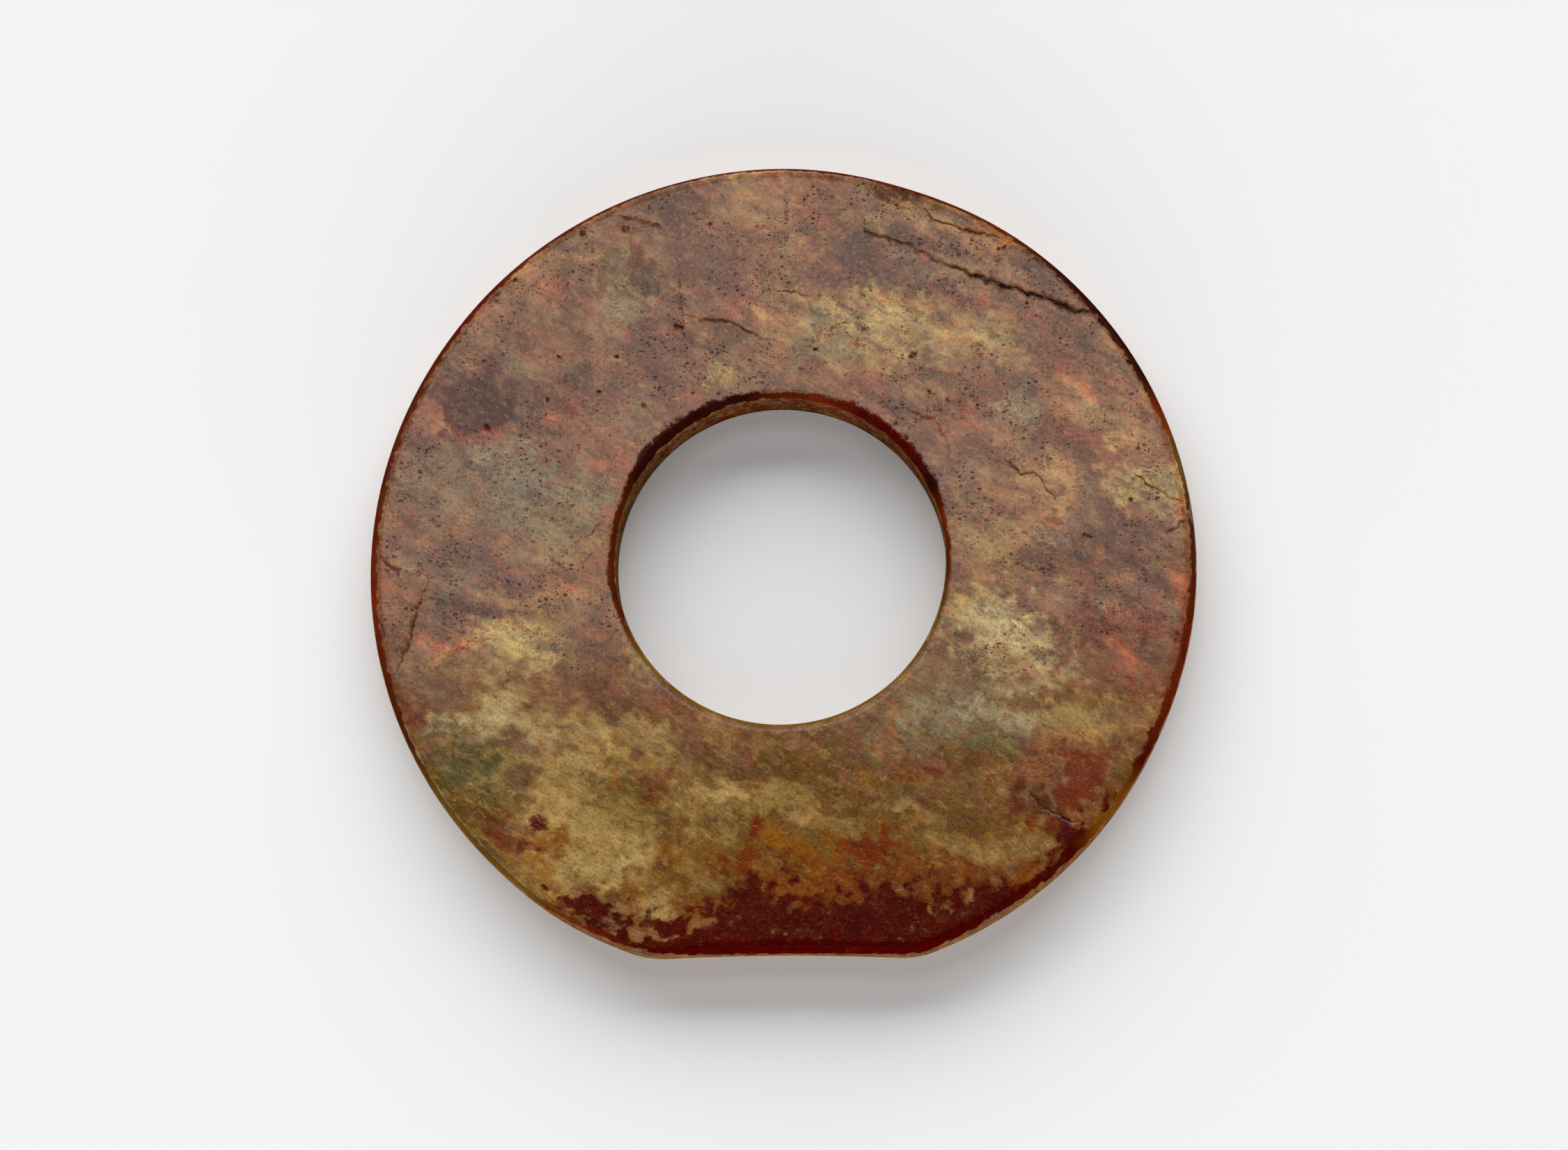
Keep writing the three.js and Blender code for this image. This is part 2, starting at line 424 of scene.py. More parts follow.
def crack_masks(points, wander):
    """For each line, each point's share of its hollow, its side, its share of the way and its distance."""
    moved = points.copy()
    moved[:, :2] += wander
    masks = []
    for line in LINES:
        distance, share, side = along_line(moved, line.route)
        weight = heaviness(line, share)
        mask = np.exp(-((distance / (line.width * (0.45 + 0.55 * weight))) ** 2)) * weight
        masks.append((mask, side, share, distance))
    return masks


def in_ellipse(points, x, y, heading, length, width):
    """Each point's place in an ellipse, as shares of its half length and its half width."""
    turn = math.radians(heading)
    x, y = points[:, 0] - x, points[:, 1] - y
    along = (x * math.cos(turn) + y * math.sin(turn)) / (length / 2)
    across = (-x * math.sin(turn) + y * math.cos(turn)) / (width / 2)
    return along, across


def sink_breaks(points, sizes):
    """How high the stone still stands at each point once the broken places are out."""
    rim_top = (sizes.thickness - sizes.rim_fall) / MM
    low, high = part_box(NODE)
    middle = (low.y + high.y) / 2 / MM - FLAT_SHIFT  # of the rim's circle
    left = np.full(len(points), 1e9)
    for place in BREAKS:
        at = math.radians(place.at)
        x, y = place.radius * math.cos(at), middle + place.radius * math.sin(at)
        u, v = in_ellipse(points, x, y, place.at + place.turn, place.width, place.length)
        inside = np.clip(1 - u * u - v * v, 0, None)
        floor = rim_top + place.rise - place.depth / 2 * np.sqrt(inside)
        left = np.where(inside > 0, np.minimum(left, floor), left)
    return left


def carve(mesh, sizes):
    """Sinks the cracks, pits, steps and breaks into the upper face. Returns what the paint needs."""
    points = read_points(mesh)
    upper = (sizes.thickness - RIM_SHOULDER[1] * MM) / MM
    face = smooth(points[:, 2], upper, upper + 3)
    wander = drift(points, 1.6, 1, 2) * CRACK_WANDER
    masks = crack_masks(points, wander)
    sink = np.zeros(len(points))
    deepest = max(line.depth for line in LINES)
    for line, (mask, side, share, distance) in zip(LINES, masks):
        depth = line.depth * sizes.crack_depth / MM / deepest
        sink = np.maximum(sink, depth * mask)
        if line.drop:
            ends = smooth(share, 0, 0.15) * (1 - smooth(share, 0.85, 1))
            sink = sink + line.drop * np.exp(-distance / 2.5) * ends * (side < 0)
    pits = np.zeros(len(points))
    for x, y, radius in PITS:
        away = np.hypot(points[:, 0] + wander[:, 0] - x, points[:, 1] + wander[:, 1] - y)
        pits = np.maximum(pits, 1 - smooth(away, radius * 0.5, radius * 1.15))
    sink = sink + PIT_DEPTH * pits
    waves = clouds(points, 13, 3, 3) * 0.5 + 0.5
    sink = sink + np.clip(waves, 0, 1) * sizes.polish_waves / MM
    points[:, 2] -= sink * face
    left = sink_breaks(points, sizes) + BREAK_ROUGHNESS * clouds(points, 1.5, 3, 4)
    broken = (points[:, 2] > left) & (points[:, 2] > 3)
    points[:, 2] = np.where(broken, left, points[:, 2])
    write_points(mesh, points)
    return masks, pits, broken


# ---------------------------------------------------------------- colour


# A cloud or stain: its tone, its middle, its length and width, its heading in degrees and its strength.
Patch = namedtuple("Patch", "tone x y length width heading strength")
PATCHES = [
    # broad grounds, the far half first
    Patch("mauve", -17, 56, 26, 14, -25, 0.75),
    Patch("mauve", 14, 46, 26, 11, -8, 0.75),
    Patch("mauve", -48, 25, 18, 14, -20, 0.7),
    Patch("mauve", -26, 32, 22, 20, 60, 0.45),
    Patch("tan", -46, 38, 16, 7, 50, 0.6),
    Patch("tan", 0, 34, 18, 8, 0, 0.4),
    Patch("straw", 12, 33, 14, 8, 0, 0.5),
    Patch("mauve", 44, 44, 20, 9, -42, 0.7),
    Patch("mauve", 50, 2, 22, 13, -60, 0.8),
    Patch("rose", -25, 22, 24, 16, 40, 0.4),
    Patch("rose", 30, 42, 22, 5, -14, 0.5),
    Patch("rose", 50, 20, 26, 14, -45, 0.45),
    Patch("rose", 56, -14, 14, 14, 0, 0.5),
    Patch("mauve", -15, 45, 16, 20, 70, 0.45),
    Patch("mauve", 45, 42, 18, 9, -40, 0.55),
    Patch("mauve", 52, 5, 22, 14, -50, 0.6),
    Patch("tan", 48, 9, 12, 9, -30, 0.4),
    Patch("mauve", -45, 37, 16, 12, 0, 0.4),
    Patch("rose", -4, 44, 12, 12, 0, 0.35),
    Patch("tan", 0, 45, 13, 10, 0, 0.4),
    Patch("mauve", -48, -3, 15, 9, -10, 0.45),
    Patch("rose", -60, -5, 16, 6, 85, 0.5),
    Patch("haze", -48, 13, 26, 12, -8, 0.65),
    Patch("haze", -37, 8, 16, 16, 0, 0.6),
    Patch("straw", -36, 6, 12, 10, 0, 0.4),
    Patch("olive", 0, -47, 120, 30, 0, 0.75),
    Patch("haze", 26, -24, 22, 20, 20, 0.7),
    Patch("haze", -50, -4, 18, 9, -10, 0.6),
    Patch("moss", -48, -34, 20, 13, -48, 0.9),
    Patch("straw", -32, -40, 26, 26, 30, 0.9),
    Patch("gold", -2, -51, 84, 18, 0, 0.5),
    Patch("rust", 14, -52, 72, 14, 4, 0.55),
    Patch("blood", 16, -58.5, 78, 13, 2, 0.85),
    Patch("blood", 2, -62, 76, 6, 0, 0.9),
    Patch("rust", 46, -38, 26, 14, 50, 0.5),
    # far left
    Patch("tan", -53.5, 38, 15, 3, 52, 0.7),
    Patch("olive", -54, 32, 6, 3.5, 60, 0.55),
    Patch("rust", -53.5, 28.5, 7, 3, 35, 0.45),
    Patch("umber", -47.5, 25.5, 14, 10, -20, 0.75),
    Patch("smoke", -47.5, 25, 11, 9, -20, 0.6),
    Patch("smoke", -54, 25, 9, 5, -30, 0.4),
    Patch("umber", -49, 22, 11, 6, -12, 0.6),
    Patch("rust", -50, 21.6, 13, 3, -12, 0.85),
    Patch("smoke", -48, 22.5, 11, 6, -10, 0.7),
    Patch("salmon", -48.5, 20.4, 8, 1.4, -14, 0.6),
    Patch("salmon", -56, 23, 3, 2, 0, 0.5),
    Patch("white", -49, 14, 5, 4, 0, 0.2),
    Patch("salmon", -36, 22.2, 3.6, 2.6, 0, 0.7),
    Patch("rust", -33, 25.5, 5, 1.3, -60, 0.65),
    Patch("smoke", -36, 25.3, 9, 2, 5, 0.4),
    Patch("haze", -40, 30, 10, 5, 0, 0.6),
    Patch("smoke", -31.5, 29, 3.4, 2.4, 0, 0.6),
    Patch("rose", -38, 35, 9, 7, 0, 0.4),
    Patch("tan", -29, 36, 6, 4.4, -40, 0.65),
    Patch("salmon", -26.5, 34.8, 1.8, 1.6, 0, 0.85),
    Patch("white", -26.5, 40.5, 9, 5, 0, 0.3),
    Patch("olive", -28, 47, 9, 9, 0, 0.5),
    Patch("straw", -21.5, 47, 8, 6.6, 80, 0.45),
    Patch("umber", -21.5, 47.2, 6, 4.8, 80, 0.7),
    Patch("rust", -21, 48, 3.4, 2.6, 80, 0.6),
    Patch("straw", -27, 49, 5, 2.4, 30, 0.6),
    Patch("smoke", -19.5, 43.6, 8, 1.2, -25, 0.7),
    Patch("straw", -24.5, 44.2, 9, 1.8, -25, 0.7),
    Patch("straw", -21, 42.2, 9, 1.4, -25, 0.6),
    Patch("smoke", -24, 42.8, 7, 1.0, -25, 0.6),
    Patch("tan", -35, 48.6, 14, 2.8, 8, 0.65),
    Patch("salmon", -39, 44, 3.6, 2.4, -40, 0.5),
    Patch("straw", -31, 44.5, 4, 2, -60, 0.5),
    Patch("rust", -27, 53.5, 7, 3, -10, 0.35),
    Patch("smoke", -17, 56.6, 14, 7, -25, 0.55),
    Patch("olive", -13.5, 57, 5, 4, 0, 0.4),
    Patch("tan", -4, 56, 15, 10, 0, 0.6),
    Patch("straw", -5, 60.6, 10, 2, 5, 0.6),
    Patch("smoke", -16, 36, 5, 4, 0, 0.5),
    Patch("straw", -9, 29.8, 7, 4.5, 0, 0.75),
    Patch("salmon", -16, 27.2, 3.4, 1.6, 0, 0.6),
    Patch("straw", -22.5, 27, 2.4, 1.6, 0, 0.6),
    Patch("haze", -24, 21, 12, 11, 0, 0.4),
    Patch("mauve", -24, 33, 14, 10, 0, 0.35),
    Patch("mauve", -12, 57, 15, 9, 0, 0.35),
    Patch("salmon", -26.5, 20.3, 2.8, 2, 0, 0.35),
    Patch("salmon", -27.3, 17, 2.6, 2, 0, 0.35),
    Patch("salmon", -28, 13.5, 3, 1.8, 0, 0.35),
    # far right
    Patch("salmon", 3, 58, 12, 5, 0, 0.15),
    Patch("salmon", 5.6, 60.3, 2.6, 1, -5, 0.8),
    Patch("smoke", 18.5, 57.6, 5.6, 4.6, -50, 0.85),
    Patch("tan", 22, 54, 10, 4.6, -15, 0.6),
    Patch("straw", 15.2, 53, 6, 3, -65, 0.7),
    Patch("olive", 27, 56.2, 13, 2.4, -24, 0.7),
    Patch("gold", 33.5, 53, 12, 1.8, -28, 0.8),
    Patch("rose", 29, 49.5, 12, 5, -15, 0.5),
    Patch("tan", 32, 46.8, 5, 3, 0, 0.65),
    Patch("tan", 37, 46.6, 4, 3, 0, 0.6),
    Patch("smoke", 34.8, 49.4, 3, 1.6, -20, 0.6),
    Patch("smoke", 16.5, 45.6, 21, 10, -8, 0.55),
    Patch("mauve", 13, 46, 14, 9, -8, 0.4),
    Patch("tan", 22, 45.2, 2.8, 1.6, 0, 0.6),
    Patch("rust", 28, 42, 14, 2.6, -12, 0.35),
    Patch("straw", 18, 36, 34, 10, -8, 0.85),
    Patch("cream", 14, 36.5, 18, 4, -6, 0.7),
    Patch("cream", 27, 34.5, 16, 4.5, -12, 0.7),
    Patch("salmon", 21, 38.6, 20, 1.8, -8, 0.5),
    Patch("haze", 5.5, 37, 6, 7, 0, 0.6),
    Patch("haze", 6.5, 32, 6, 3, 0, 0.5),
    Patch("straw", 37, 33.5, 10, 4, -35, 0.6),
    Patch("tan", 26, 46, 9, 4, -20, 0.6),
    Patch("haze", 24, 45.5, 12, 8, 0, 0.35),
    Patch("mauve", 37, 45, 12, 7, -20, 0.4),
    Patch("rose", 43, 32, 12, 8, -30, 0.5),
    Patch("white", 36.2, 23.4, 9, 6, -40, 0.5),
    Patch("rust", 26, 24.2, 7, 2, -20, 0.5),
    Patch("mauve", 24, 16, 6, 9, 0, 0.6),
    Patch("tan", 37, 17.5, 7, 5, -50, 0.7),
    Patch("smoke", 36, 14.5, 6, 2.6, -20, 0.55),
    Patch("tan", 44, 11, 9, 6, -30, 0.9),
    Patch("rust", 42.6, 5.8, 4.6, 4.6, 0, 0.5),
    Patch("tan", 35, 9, 8, 5, 0, 0.5),
    Patch("straw", 33, 3, 11, 9, 0, 0.55),
    Patch("white", 43, 2.4, 4, 2.8, 0, 0.35),
    Patch("smoke", 49, 14, 11, 5, -40, 0.45),
    Patch("tan", 49, 22, 18, 6, -38, 0.75),
    Patch("straw", 52, 20, 14, 2.4, -44, 0.6),
    Patch("rust", 46, 18.6, 13, 1.8, -42, 0.5),
    Patch("salmon", 47, 25.6, 12, 1.8, -40, 0.6),
    Patch("rust", 54, 24.4, 13, 1.8, -46, 0.5),
    Patch("salmon", 41, 7.6, 5, 2, -60, 0.6),
    Patch("straw", 41, 12, 8, 2.6, -40, 0.6),
    Patch("salmon", 57.5, 14, 9, 1.6, -40, 0.6),
    Patch("tan", 55.5, 19, 13, 5, -52, 0.55),
    Patch("tan", 58, 28, 6, 4, -60, 0.5),
    Patch("tan", 60, 9, 14, 10, -30, 0.85),
    Patch("cream", 60, 10, 13, 8, -30, 0.8),
    Patch("cream", 59.5, 11.6, 13, 3, -30, 0.9),
    Patch("salmon", 63.2, 6.4, 4.4, 1.2, 80, 0.9),
    # near right
    Patch("cream", 33, -12, 19, 12, -14, 0.8),
    Patch("cream", 38, -15, 12, 8, -30, 0.7),
    Patch("white", 37, -15, 17, 11, -20, 0.6),
    Patch("smoke", 29.3, -15, 5.6, 3.2, -12, 0.8),
    Patch("smoke", 32.5, -18, 6, 3.6, -45, 0.45),
    Patch("cream", 37, -16, 14, 11, 0, 0.4),
    Patch("salmon", 37, -18, 6, 2.6, -30, 0.3),
    Patch("haze", 24, -27, 14, 10, 0, 0.7),
    Patch("white", 34, -26, 9, 4.6, 0, 0.3),
    Patch("salmon", 62, -6, 8, 3.4, 80, 0.55),
    Patch("rust", 51, -12.4, 14, 8, -20, 0.5),
    Patch("salmon", 53, -17, 3.6, 2.2, 0, 0.6),
    Patch("smoke", 57.5, -16, 5, 4, 0, 0.5),
    Patch("straw", 45, -26, 16, 9, 0, 0.75),
    Patch("white", 34, -27, 14, 7, 0, 0.4),
    Patch("white", 24, -25, 12, 6, 20, 0.3),
    Patch("rust", 56, -22, 8, 7, 60, 0.5),
    Patch("tan", 44, -29.6, 11, 4, 0, 0.5),
    Patch("rose", 39, -33, 9, 5, 30, 0.5),
    Patch("moss", 32, -31.5, 10, 7, 0, 0.5),
    Patch("rust", 46.5, -35.5, 10, 6.5, 20, 0.65),
    Patch("olive", 52, -36, 7, 5, 50, 0.8),
    Patch("gold", 49.5, -41.4, 6, 2.4, 30, 0.7),
    Patch("smoke", 39, -38, 9, 3.4, -40, 0.6),
    Patch("blood", 44, -44.6, 11, 7, 42, 0.9),
    Patch("rust", 23, -34, 16, 6, 0, 0.5),
    Patch("olive", 4, -33.6, 12, 6, 0, 0.6),
    Patch("straw", 0, -39.5, 18, 5, 0, 0.55),
    Patch("straw", 20, -40.6, 12, 2.6, -8, 0.5),
    Patch("rust", 37, -40, 12, 6, -30, 0.5),
    Patch("straw", 28, -46, 15, 5, -5, 0.5),
    Patch("rust", 14, -46.6, 8, 5, -10, 0.75),
    Patch("straw", 9, -42.6, 10, 3.4, -18, 0.5),
    Patch("gold", 4, -46, 11, 6, 0, 0.4),
    Patch("straw", 36, -47, 9, 4.6, 10, 0.4),
    Patch("gold", 6, -52.5, 12, 5, 0, 0.3),
    Patch("gold", 28, -53.6, 6, 3, 10, 0.6),
    Patch("gold", 38, -52, 6, 4, 35, 0.7),
    # near left
    Patch("mauve", -49, -2, 15, 9, -10, 0.55),
    Patch("smoke", -47, -8.6, 18, 5, -18, 0.65),
    Patch("tan", -44, -6, 8, 3, -15, 0.75),
    Patch("tan", -36, -5.6, 10, 7, 0, 0.75),
    Patch("salmon", -33.5, -4, 4, 2, -20, 0.5),
    Patch("salmon", -53, -14, 9, 4, 0, 0.5),
    Patch("straw", -43, -15, 16, 10, 0, 0.9),
    Patch("cream", -42, -15, 12, 5, -10, 0.6),
    Patch("white", -43, -13.4, 4, 1, 0, 0.5),
    Patch("straw", -36, -13, 10, 8, 0, 0.5),
    Patch("straw", -22.4, -16, 9, 3, -52, 0.75),
    Patch("mauve", -55.5, -23, 12, 8, -30, 0.8),
    Patch("rust", -57.4, -24.6, 6, 3.4, -50, 0.6),
    Patch("smoke", -43, -20.7, 2.8, 0.9, 0, 0.8),
    Patch("straw", -44, -25, 18, 8, 0, 0.85),
    Patch("white", -46, -26, 16, 7, 0, 0.4),
    Patch("straw", -27, -28, 16, 7, -20, 0.6),
    Patch("smoke", -26.5, -22, 12, 6, -20, 0.5),
    Patch("straw", -30, -25.6, 9, 2.8, -30, 0.55),
    Patch("mauve", -44, -29.6, 14, 2.6, -5, 0.55),
    Patch("smoke", -41, -35.4, 4.4, 5.4, -30, 0.6),
    Patch("olive", -24, -39, 14, 11, 20, 0.8),
    Patch("gold", -26, -36.6, 4.6, 1.2, 60, 0.8),
    Patch("rust", -21, -36, 7, 6, 30, 0.45),
    Patch("smoke", -14, -31.5, 16, 4, -15, 0.35),
    Patch("straw", -12, -39, 13, 9, 0, 0.4),
    Patch("cream", -10.5, -38, 10, 3, 20, 0.5),
    Patch("straw", -28, -47, 24, 14, -10, 0.6),
    Patch("cream", -26, -48, 18, 9, -20, 0.3),
    Patch("gold", -15, -49, 5, 2.4, -10, 0.75),
    Patch("rust", -4, -43, 2.8, 4, -15, 0.85),
    Patch("olive", -47, -40.6, 6, 8, -40, 0.75),
    Patch("rust", -43.5, -43.4, 9, 5, -42, 0.8),
    Patch("blood", -39, -41.6, 4.4, 3.4, 0, 0.55),
    Patch("rust", -40, -44, 12, 8, -40, 0.4),
    Patch("gold", -37, -45, 3.6, 4.6, 0, 0.7),
    Patch("smoke", -39.6, -46.4, 2, 3.4, 0, 0.7),
    Patch("gold", -38, -49, 6, 2, -10, 0.5),
    Patch("blood", -31, -56, 14, 4.6, -28, 0.85),
    Patch("rust", -29, -53.6, 8, 3, -15, 0.6),
    Patch("cream", -24, -51.6, 8, 3.4, 70, 0.6),
    Patch("cream", -19, -55.8, 7, 2.4, 45, 0.7),
    Patch("blood", -17.6, -58, 9, 3.4, 0, 0.8),
    Patch("gold", -13, -57.6, 5, 4, 30, 0.8),
    Patch("blood", -3, -54.6, 12, 8, 0, 0.7),
    Patch("rust", -6, -48.6, 12, 5, 0, 0.5),
    Patch("olive", -12.5, -51.5, 13, 9, 0, 0.4),
    Patch("straw", -12, -50, 9, 5, -20, 0.4),
]

# Islands of paler stone whose borders are crisp and jagged.
ISLANDS = [
    Patch("tan", 41, 8.5, 9, 12, -35, 0.6),
    Patch("straw", 58, 11.5, 13, 4, -32, 0.7),
    Patch("tan", 25, 51.5, 22, 5, -20, 0.45),
    Patch("straw", 20, 37, 34, 7, -8, 0.4),
    Patch("haze", -38, 10, 18, 10, -8, 0.4),
]

# The stain along the rim's shoulder and the bore's lip: direction, width on the face, tone.
RIM_STAIN = [
    (0, 1.0, "umber"), (8, 0.8, "umber"), (15, 0.9, "olive"), (22, 1.2, "rust"), (28, 1.5, "garnet"),
    (47, 1.4, "garnet"), (56, 0.9, "umber"), (75, 0.9, "umber"), (90, 0.8, "blood"), (100, 0.8, "umber"),
    (125, 1.1, "umber"), (140, 1.2, "blood"), (155, 1.4, "umber"), (170, 1.3, "umber"), (185, 1.2, "rust"),
    (195, 1.2, "umber"), (205, 0.9, "umber"), (215, 0.8, "olive"), (232, 0.9, "olive"), (240, 1.2, "rust"),
    (252, 1.5, "blood"), (270, 2.2, "blood"), (300, 2.0, "blood"), (315, 1.8, "blood"), (323, 1.0, "gold"),
    (331, 1.5, "blood"), (343, 1.4, "rust"),
]
LIP_STAIN = [
    (0, 0.8, "umber"), (16, 0.9, "rust"), (26, 1.6, "garnet"), (42, 1.9, "blood"), (62, 1.9, "blood"),
    (76, 1.2, "rust"), (92, 1.1, "umber"), (102, 1.6, "garnet"), (130, 2.3, "garnet"), (148, 1.8, "garnet"),
    (158, 1.1, "umber"), (175, 0.9, "umber"), (183, 1.4, "umber"), (200, 0.9, "umber"), (215, 0.8, "olive"),
    (300, 0.7, "olive"), (335, 0.8, "olive"),
]

# Where the rim's pale wall reaches higher up its shoulder, partly its own pale colour and partly a painted
# reflection of the floor on the near side: direction and spread in degrees.
PALE_RIM_AND_REFLECTION = [(303, 22), (248, 12)]

# painted shade: the black of the open crack's deep bottom and of the open pits
CRACK_SHADE_BLACK = srgb(14, 8, 6)  # the bottom of an open crack
PIT_SHADE_BLACK = srgb(30, 6, 4)

# The tones whose patches the shader breaks up into fine specks: the size of the specks, how soft their
# borders are, and how much of the stone they hide.
Stain = namedtuple("Stain", "tone size softness share")
STAINS = [
    Stain("gold", 1.3, 0.3, 0.8),
    Stain("rust", 1.9, 0.32, 0.8),
    Stain("blood", 1.8, 0.3, 0.96),
    Stain("smoke", 2.4, 0.5, 0.78),
]


def lay(colours, mask, colour):
    """Mixes one colour over the rows of an array where the mask says so."""
    return colours + (np.array(colour) - colours) * np.clip(mask, 0, 1)[:, None]


def patch_mask(points, ragged, patch, core=0.55, end=1.3):
    """How much of a patch each point holds. It fades from core to end, which the ragged noise moves."""
    place = in_ellipse(points, patch.x, patch.y, patch.heading, patch.length, patch.width)
    reach = np.hypot(*place) + ragged * 0.45
    return patch.strength * (1 - smooth(reach, core, end))


def stain_round(direction, stain, tones):
    """The stain's width and colour in each direction round the ring."""
    order = [s[0] for s in stain] + [stain[0][0] + 360]
    widths = [s[1] for s in stain] + [stain[0][1]]
    colours = [tones[s[2]] for s in stain] + [tones[stain[0][2]]]
    width = np.interp(direction, order, widths)
    colour = np.stack([np.interp(direction, order, [c[k] for c in colours]) for k in range(3)], 1)
    return width, colour


def lay_patches(points, colours, ragged, tones):
    """Lays the patches and the islands. Returns the colours, and how strong each stain is."""
    moved = points.copy()
    moved[:, :2] += 2.0 * drift(points, 9, 5) + 0.7 * drift(points, 2.2, 7)
    columns = [stain.tone for stain in STAINS]
    stains = np.zeros((len(points), len(columns)))
    for patch in PATCHES:
        mask = patch_mask(moved, ragged, patch)
        if patch.tone in columns:
            column = columns.index(patch.tone)
            stains[:, column] = 1 - (1 - stains[:, column]) * (1 - mask)
        else:
            colours = lay(colours, mask, tones[patch.tone])
            stains *= (1 - 0.8 * mask)[:, None]
    for island in ISLANDS:
        mask = patch_mask(moved, 1.6 * ragged, island, 0.92, 1.02)
        colours = lay(colours, mask, tones[island.tone])
    return colours, stains


def seen_from(points, x, y):
    """Each point's direction from a place, in degrees from 0 to 360, and its distance."""
    across, along = points[:, 0] - x, points[:, 1] - y
    return np.degrees(np.arctan2(along, across)) % 360, np.hypot(across, along)


def stain_arrises(points, colours, stains, ragged, medium, sizes, tones):
    """Stains the rim's shoulder and the bore's lip, and lays the plainer tones of their walls. The rim's pale
    wall is partly its own colour and partly a painted reflection of the floor on the near side.

    Returns the colours, the stains, the arrises' stain with its reach, and how matt the stone is.
    """
    rim, bore, top = sizes.rim_radius / MM, sizes.bore_radius / MM, sizes.thickness / MM
    rim_top = top - sizes.rim_fall / MM
    height = points[:, 2] + 0.4 * ragged

    heading, reach = seen_from(points, 0, -FLAT_SHIFT)
    outer = rim_radius(heading, rim) - reach
    by_rim = outer < RIM_WALL_REACH
    # the pale wall, which reaches higher on the near side as a painted reflection of the floor
    pale = sum(np.exp(-((degrees_apart(heading, at) / spread) ** 2)) for at, spread in PALE_RIM_AND_REFLECTION)
    pale_wall_and_reflection = by_rim * (1 - smooth(height, rim_top - 2.9 + 1.3 * pale, rim_top - 2.0 + 1.3 * pale))
    width, stain = stain_round(heading, RIM_STAIN, tones)
    shoulder = np.clip(1 - 0.5 * outer / width, 0, 1) * (1 - pale_wall_and_reflection)
    colours = lay(colours, pale_wall_and_reflection * 0.85, tones["flesh"])
    stains = stains * (1 - 0.75 * pale_wall_and_reflection)[:, None]

    heading, reach = seen_from(points, BORE_OFFSET[0], BORE_OFFSET[1] - FLAT_SHIFT)
    inner = reach - bore
    by_bore = inner < BORE_WALL_REACH
    bore_wall = by_bore * (1 - smooth(height, top - 1.5, top - 0.8))
    width, lip_stain = stain_round(heading, LIP_STAIN, tones)
    lip = np.clip(1 - 0.5 * inner / width, 0, 1)
    stain = np.where((lip > 0)[:, None], lip_stain, stain)
    lip = lip * (1 - bore_wall)
    far_side = smooth(np.sin(np.radians(heading)), 0.1, 0.9)
    colours = lay(colours, bore_wall * 0.9, tones["olive"])
    colours = lay(colours, bore_wall * (0.15 + 0.6 * far_side + 0.3 * medium), tones["umber"])

    matt = by_bore * (1 - smooth(points[:, 2], top - 1.2, top - 0.3))
    matt = np.maximum(matt, by_rim * (1 - smooth(points[:, 2], rim_top - 1.5, rim_top - 0.5)))
    return colours, stains, np.column_stack([stain, np.maximum(shoulder, lip)]), matt


def darken_cracks(colours, masks, pits, tones):
    """Lays the tones of the cracks, with one mask for each line, and of the pits: the stain tones of the
    narrow cracks, and painted shade in the open crack and the pits.
    """
    for line, mask in zip(LINES, masks):
        open_crack = line.tone == "black"
        colour = CRACK_SHADE_BLACK if open_crack else tones[line.tone]
        colours = lay(colours, np.minimum(mask * (2.4 if open_crack else 1.2), 1), colour)
    return lay(colours, pits * 0.95, PIT_SHADE_BLACK)


def paint(mesh, sizes, tones, masks, pits, broken):
    """Colours the stone, and says where it is stained and how its fibres and dots lie."""
    points = read_points(mesh)
    ragged = clouds(points, 1.8, 4, 9)
    broad = clouds(points, 11, 4, 10)
    medium = clouds(points, 4, 4, 11)
    colours = np.tile(np.array(tones["ground"]), (len(points), 1))
    colours = lay(colours, 0.6 * smooth(broad, -0.1, 0.7), tones["mauve"])
    colours = lay(colours, 0.45 * smooth(medium, 0.0, 0.9), tones["tan"])
    colours = lay(colours, 0.4 * smooth(-medium, 0.1, 0.9), tones["rose"])
    colours, stains = lay_patches(points, colours, ragged, tones)
    worn = stain_arrises(points, colours, stains, ragged, medium, sizes, tones)
    colours, stains, arrises, matt = worn
    upper = points[:, 2] > sizes.thickness / MM - 3
    colours = darken_cracks(colours, [mask * upper for mask, *_ in masks], pits * upper, tones)

    # near: the half whose fibres carry painted glints and painted shade, and its own blotch tones
    near = smooth(-points[:, 1], 8, 34)
    # dots: where the far half's dark specks go, partly dark grains and partly painted shade in pits
    dots = (1 - near) * (0.75 + 0.5 * broad)
    lie = smooth(points[:, 0] + 6 * broad, -18, 4) * smooth(-points[:, 1], 5, 20)
    rough = np.maximum(broken, pits)
    store(mesh, "stone", np.column_stack([colours, matt]))
    store(mesh, "edge", arrises)
    store(mesh, "stains", np.clip(stains, 0, 1))
    store(mesh, "grain", np.clip(np.column_stack([0.25 + 0.75 * near, dots, lie, rough]), 0, 1))


def store(mesh, name, rows):
    """Keeps one colour for each point of the mesh under a name that the shader reads."""
    attribute = mesh.attributes.new(name, "FLOAT_COLOR", "POINT")
    attribute.data.foreach_set("color", rows.ravel())


# ---------------------------------------------------------------- shader


class Wire:
    """A shader value. Arithmetic on wires adds Math nodes to their material."""

    def __init__(self, shader, socket):
        self.shader = shader
        self.socket = socket

    def math(self, operation, *values):
        return self.shader.node("ShaderNodeMath", {"operation": operation}, dict(enumerate(values)))

    def __add__(self, other):
        return self.math("ADD", self, other)

    def __radd__(self, other):
        return self.math("ADD", other, self)

    def __sub__(self, other):
        return self.math("SUBTRACT", self, other)

    def __rsub__(self, other):
        return self.math("SUBTRACT", other, self)

    def __mul__(self, other):
        return self.math("MULTIPLY", self, other)

    def __rmul__(self, other):
        return self.math("MULTIPLY", other, self)


